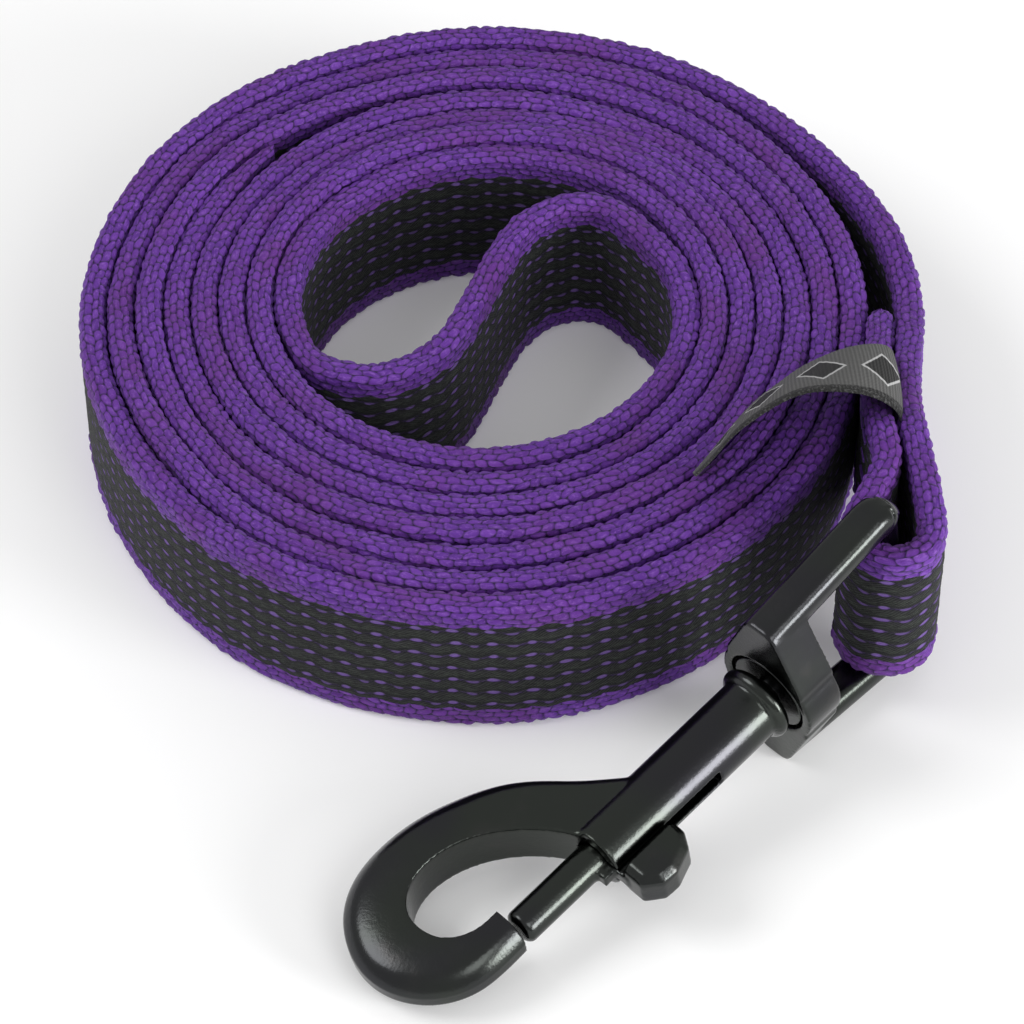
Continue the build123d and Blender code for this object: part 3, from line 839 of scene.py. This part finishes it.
def metal_material():
    """Smooth black plating, faintly clouded."""
    n = Nodes("black_nickel")
    place = n.new("ShaderNodeTexCoord").outputs["Object"]
    cloud = n.noise(place, 130.0, 4.0, 0.55)
    tint = n.noise(place, 70.0, 2.0, 0.5)
    grain = n.noise(place, 2600.0, 3.0, 0.6)
    colour = n.blend(n.step(tint, 0.35, 0.65), grey(0.040, blue=0.004), grey(0.043, green=0.005))
    colour = n.blend(n.step(cloud, 0.55, 0.85), colour, grey(0.058, red=0.003))
    rough = n.math("MULTIPLY_ADD", cloud, 0.14, 0.15)
    height = n.add(n.mul(cloud, 0.75), n.mul(grain, 0.25))
    return n.surface(colour, rough, n.bump(height, 0.00007), Metallic=1.0)


def label_material():
    """Ribbed grey ribbon with a dark rim and a row of plain outlined diamonds."""
    n = Nodes("label_grosgrain")
    along, across = n.uv("weave")
    rib = n.math("SINE", n.mul(along, 2 * math.pi / 0.45))
    fine = n.math("SINE", n.mul(across, 2 * math.pi / 0.3))
    fuzz = n.noise(n.vector(along, across, 0.0), 3.0, 4.0, 0.6)
    base = n.blend(fuzz, grey(0.070), grey(0.125, blue=-0.004))
    base = n.blend(n.math("MULTIPLY_ADD", rib, 0.28, 0.28), base, grey(0.035))
    block = n.sub(n.math("FLOORED_MODULO", along, LABEL_REPEAT), LABEL_REPEAT / 2)
    long_way = n.math("DIVIDE", n.math("ABSOLUTE", block), DIAMOND_HALF_LONG)
    offset = n.math("ABSOLUTE", n.sub(across, LABEL_WIDTH * 0.52))
    spread = n.add(long_way, n.math("DIVIDE", offset, DIAMOND_HALF_HIGH))
    base = n.blend(n.sub(1.0, n.step(spread, 1.00, 1.05)), base, grey(0.42))
    base = n.blend(n.sub(1.0, n.step(spread, 0.86, 0.91)), base, grey(0.010))
    rim = n.sub(1.0, n.step(across, 1.2, 1.35))
    colour = n.blend(rim, base, n.blend(n.step(fuzz, 0.5, 0.62), grey(0.010), grey(0.06)))
    height = n.add(n.mul(rib, 0.5), n.mul(fine, 0.2))
    return n.surface(colour, 0.78, n.bump(height, 0.00006), Sheen_Weight=0.06, Specular_IOR_Level=0.3)


def thread_material():
    """Twisted purple sewing thread."""
    n = Nodes("sewing_thread_twist")
    place = n.new("ShaderNodeTexCoord").outputs["Object"]
    twist = n.noise(place, 3000.0, 2.0, 0.5)
    colour = n.blend(twist, THREAD_DULL, THREAD_BRIGHT)
    return n.surface(colour, 0.6, n.bump(twist, 0.0001), Sheen_Weight=0.05)


def steel_material():
    """Drawn steel wire."""
    n = Nodes("spring_steel_wire")
    place = n.new("ShaderNodeTexCoord").outputs["Object"]
    streak = n.noise(place, 1500.0, 2.0, 0.5)
    colour = n.blend(streak, grey(0.22), grey(0.36))
    return n.surface(colour, n.math("MULTIPLY_ADD", streak, 0.15, 0.22), Metallic=1.0)


def give(piece, material):
    """Makes this the piece's only material."""
    piece.data.materials.clear()
    piece.data.materials.append(material)


# ================================================================ view
def build_camera(scene):
    """Long lens from above the front."""
    target = Vector(CAMERA_TARGET) * MM
    rise = math.radians(CAMERA_RISE)
    eye = target + CAMERA_FAR * MM * Vector((0, -math.cos(rise), math.sin(rise)))
    data = bpy.data.cameras.new("camera")
    data.lens = CAMERA_LENS
    data.sensor_width = SENSOR
    data.clip_start = 0.01
    camera = bpy.data.objects.new("camera", data)
    camera.location = eye
    camera.rotation_euler = (target - eye).to_track_quat("-Z", "Y").to_euler()
    scene.collection.objects.link(camera)
    scene.camera = camera


def build_floor():
    """White paper that glows a little, so that it stays white away from the leash."""
    mesh = bpy.data.meshes.new("floor")
    far = FLOOR_HALF
    corners = [(-far, -far, 0), (far, -far, 0), (far, far, 0), (-far, far, 0)]
    mesh.from_pydata(corners, [], [(0, 1, 2, 3)])
    floor = link("floor", mesh)
    n = Nodes("floor_paper")
    paper = n.noise(n.new("ShaderNodeTexCoord").outputs["Object"], 4.0, 2.0, 0.5)
    colour = n.blend(paper, grey(0.86), grey(0.88))
    give(floor, n.surface(colour, 0.9, Specular_IOR_Level=0.1,
                          Emission_Color=WHITE, Emission_Strength=FLOOR_GLOW))


def build_world(scene):
    """Even white light from all round."""
    world = bpy.data.worlds.new("studio")
    world.use_nodes = True
    background = world.node_tree.nodes["Background"]
    background.inputs["Color"].default_value = WHITE
    background.inputs["Strength"].default_value = WORLD_LIGHT
    scene.world = world


def soft_light(name, place, size, power):
    """Round lamp aimed at the origin."""
    data = bpy.data.lights.new(name, "AREA")
    data.shape = "DISK"
    data.size = size
    data.energy = power
    light = bpy.data.objects.new(name, data)
    light.location = place
    light.rotation_euler = (-Vector(place)).to_track_quat("-Z", "Y").to_euler()
    bpy.context.scene.collection.objects.link(light)


def build_view():
    """Camera, floor, world and lamps."""
    scene = bpy.context.scene
    scene.view_settings.view_transform = "Standard"
    build_camera(scene)
    build_floor()
    build_world(scene)
    for name, place, size, power in LAMPS:
        soft_light(name, place, size, power)


# ================================================================ assembly
def place_piece(piece, node, material, body):
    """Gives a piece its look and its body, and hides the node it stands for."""
    give(piece, material)
    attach(piece, body)
    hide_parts(node)


build_view()
metal = metal_material()
thread = thread_material()

strap, strap_long = build_webbing()
place_piece(strap, "webbing", webbing_material(), "leash")

ribbon, ribbon_long = build_label()
place_piece(ribbon, "label", label_material(), "leash")

for node, name, reshape in [
    ("hook_end_stitching", "hook_seam_thread", lean_points),
    ("handle_stitching", "handle_seam_thread", None),
]:
    seam = cast_copy(node, name, THREAD_GRAIN, THREAD_SOFTENING, reshape)
    place_piece(seam, node, thread, "leash")

reshapes = {"swivel_eye": round_eye_corners, "hook_body": dome_hook}
for node, body, rounds in CAST_PIECES:
    cast = cast_copy(node, node + "_cast", GRAIN, rounds, reshapes.get(node))
    place_piece(cast, node, metal, body)

spring = build_spring()
place_piece(spring, "gate_spring", steel_material(), "snap")
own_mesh(spring)
